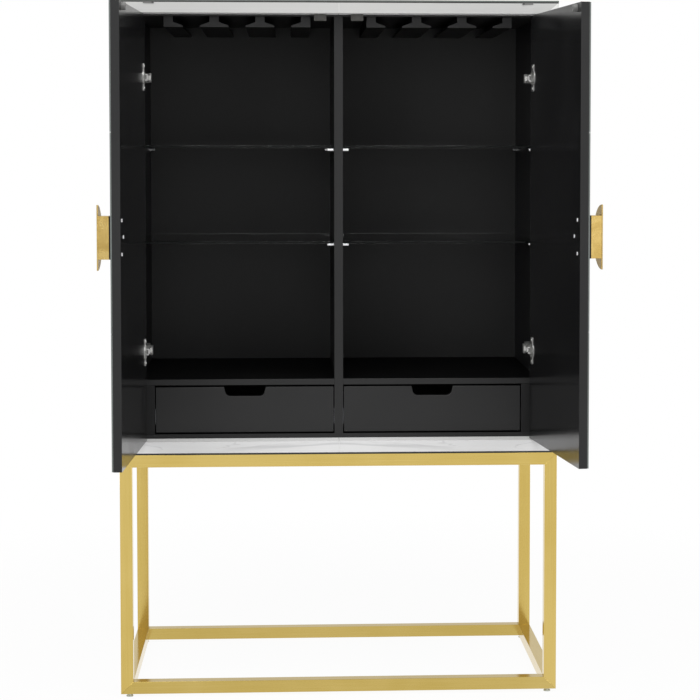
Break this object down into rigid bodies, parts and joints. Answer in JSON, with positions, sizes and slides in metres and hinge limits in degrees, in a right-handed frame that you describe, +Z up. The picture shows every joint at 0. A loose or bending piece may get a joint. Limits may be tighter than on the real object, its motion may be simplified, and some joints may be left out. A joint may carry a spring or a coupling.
{
  "type": "bar cabinet",
  "caption": "Tall bar cabinet on an open square-tube base: doors with half-round pulls, glass shelves, stemware rails and drawers inside.",
  "frame": {"origin": "on the floor, under the middle of the space that the cabinet and its open doors take", "axes": "+X to the right as seen from the front, +Y to the back, +Z up"},
  "size_m": [1.0427, 0.9987, 1.591],
  "materials": {
    "brass": "brushed and clear lacquered",
    "stone_glass": "white stone look, polished",
    "stone_strip": "white stone look, satin",
    "black_lacquer": "gloss black lacquer",
    "dark_sheet": "dark edge",
    "clear_glass": "clear, polished edges",
    "bright_steel": "bright plated",
    "hinge_steel": "nickel plated",
    "zinc_steel": "zinc plated",
    "black_rubber": "matt",
    "black_plastic": "moulded",
    "pale_plastic": "translucent glide",
    "board_edge": "black satin board"
  },
  "bodies": {
    "cabinet": {"frame_legs_front": "brass", "frame_legs_rear": "brass", "frame_rail_top_front": "brass", "frame_rail_top_rear": "brass", "frame_rail_base_front": "brass", "frame_rail_base_rear": "brass", "frame_rails_top_sides": "brass", "frame_rails_base_sides": "brass", "frame_bolts": "zinc_steel", "side_panels": "board_edge", "bottom_panel": "board_edge", "top_panel": "board_edge", "underlay_sheet": "dark_sheet", "side_glass": "stone_glass", "top_glass": "stone_glass", "front_trim_top": "stone_strip", "front_trim_bottom": "stone_strip", "front_trim_sides": "stone_strip", "top_glass_clips": "hinge_steel", "liner_bottom": "black_lacquer", "liner_top": "black_lacquer", "liner_sides": "black_lacquer", "back_panel": "black_lacquer", "divider": "black_lacquer", "compartment_floors": "black_lacquer", "glass_shelves": "clear_glass", "shelf_pins": "bright_steel", "stem_rails_left": "black_lacquer", "stem_rails_right": "black_lacquer", "hinge_arms": "hinge_steel", "hinge_plates": "hinge_steel", "magnetic_catches": "black_plastic", "runner_tracks": "zinc_steel", "drawer_fillers": "black_lacquer"},
    "door_left": {"door_board_left": "black_lacquer", "door_tiles_left": "stone_glass", "handle_gasket_left": "black_rubber", "handle_block_left": "brass", "handle_plate_left": "brass", "handle_screws_left": "bright_steel", "hinge_cups_left": "hinge_steel", "strike_disc_left": "bright_steel"},
    "drawer_left": {"drawer_front_left": "black_lacquer", "drawer_box_left": "board_edge", "runner_slides_left": "zinc_steel"},
    "door_right": {"door_board_right": "black_lacquer", "door_tiles_right": "stone_glass", "handle_gasket_right": "black_rubber", "handle_block_right": "brass", "handle_plate_right": "brass", "handle_screws_right": "bright_steel", "hinge_cups_right": "hinge_steel", "strike_disc_right": "bright_steel"},
    "drawer_right": {"drawer_front_right": "black_lacquer", "drawer_box_right": "board_edge", "runner_slides_right": "zinc_steel"},
    "glide_front_left": {"foot_front_left": "pale_plastic"},
    "glide_front_right": {"foot_front_right": "pale_plastic"},
    "glide_rear_left": {"foot_rear_left": "pale_plastic"},
    "glide_rear_right": {"foot_rear_right": "pale_plastic"}
  },
  "joints": [
    {"name": "door_hinge_left", "type": "hinge", "parent": "cabinet", "child": "door_left", "pos_m": [-0.4695, -0.04575, 1.074], "axis": [0, 0, -1], "range_deg": [-92.4, 7.6]},
    {"name": "door_hinge_right", "type": "hinge", "parent": "cabinet", "child": "door_right", "pos_m": [0.4405, -0.04575, 1.074], "axis": [0, 0, 1], "range_deg": [-96.1, 3.9]},
    {"name": "drawer_slide_left", "type": "slide", "parent": "cabinet", "child": "drawer_left", "axis": [0, -1, 0], "range_m": [0, 0.3]},
    {"name": "drawer_slide_right", "type": "slide", "parent": "cabinet", "child": "drawer_right", "axis": [0, -1, 0], "range_m": [0, 0.3]},
    {"name": "glide_turn_front_left", "type": "hinge", "parent": "cabinet", "child": "glide_front_left", "pos_m": [-0.4955, -0.03675, 0.01], "axis": [0, 0, 1], "continuous": true},
    {"name": "glide_turn_front_right", "type": "hinge", "parent": "cabinet", "child": "glide_front_right", "pos_m": [0.4665, -0.03675, 0.01], "axis": [0, 0, 1], "continuous": true},
    {"name": "glide_turn_rear_left", "type": "hinge", "parent": "cabinet", "child": "glide_rear_left", "pos_m": [-0.4955, 0.48525, 0.01], "axis": [0, 0, 1], "continuous": true},
    {"name": "glide_turn_rear_right", "type": "hinge", "parent": "cabinet", "child": "glide_rear_right", "pos_m": [0.4665, 0.48525, 0.01], "axis": [0, 0, 1], "continuous": true}
  ]
}
